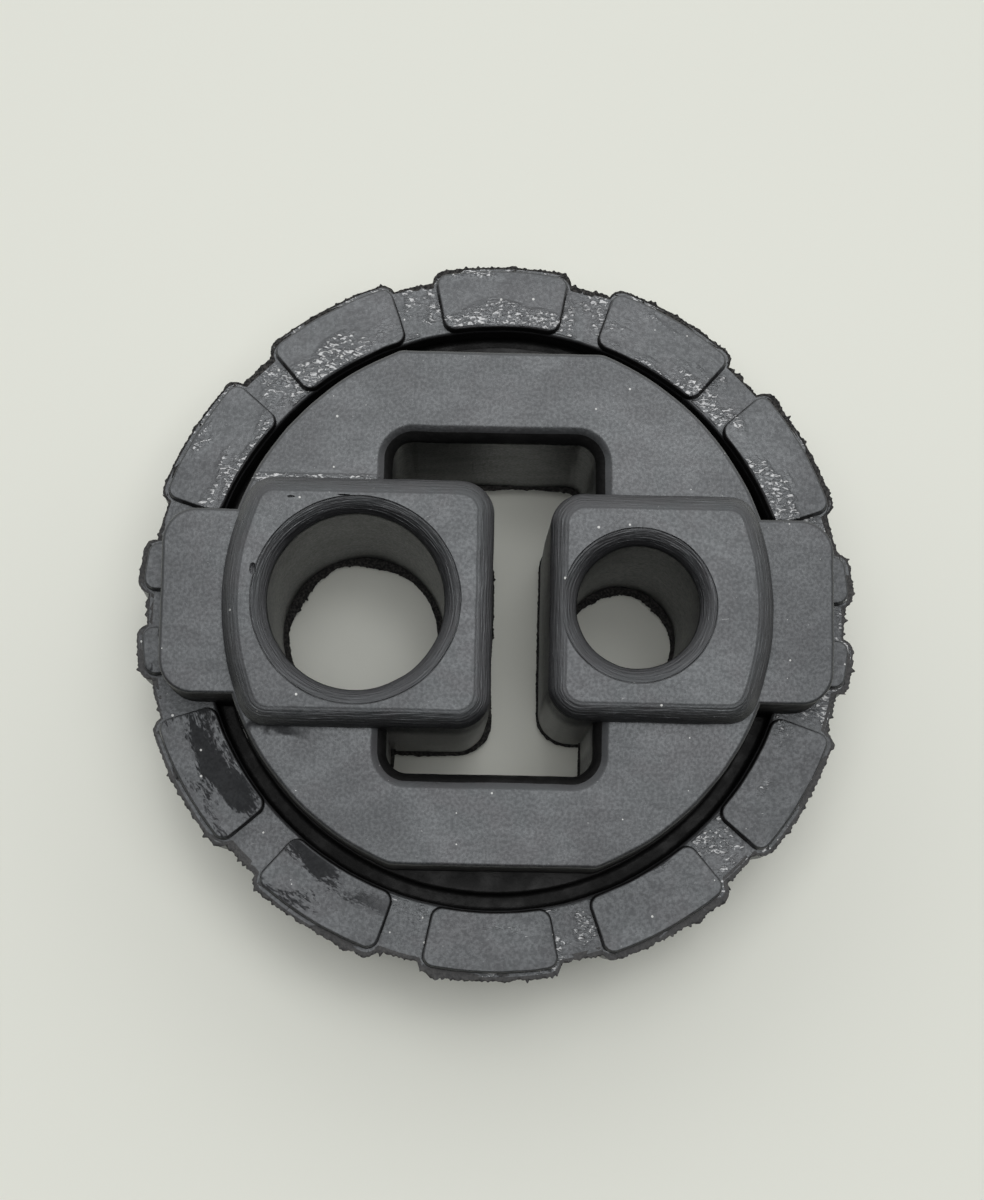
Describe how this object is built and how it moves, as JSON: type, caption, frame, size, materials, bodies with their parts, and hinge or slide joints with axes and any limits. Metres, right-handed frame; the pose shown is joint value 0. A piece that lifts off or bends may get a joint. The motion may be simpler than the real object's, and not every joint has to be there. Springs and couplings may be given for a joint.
{
  "type": "exhaust hanger rubber",
  "caption": "Round moulded rubber exhaust hanger with a large and a small rod bore in raised bosses, a window between them and an outer ring of low pads",
  "frame": {"origin": "on the plane of the bosses' back ends, on the axis of the outer ring", "axes": "+Z along the bores, +X from the large bore to the small bore, +Y across the window's length"},
  "size_m": [0.0718, 0.072, 0.031],
  "materials": {
    "rubber_black": "satin"
  },
  "bodies": {
    "root": {"hanger_rubber": "rubber_black"}
  },
  "joints": []
}
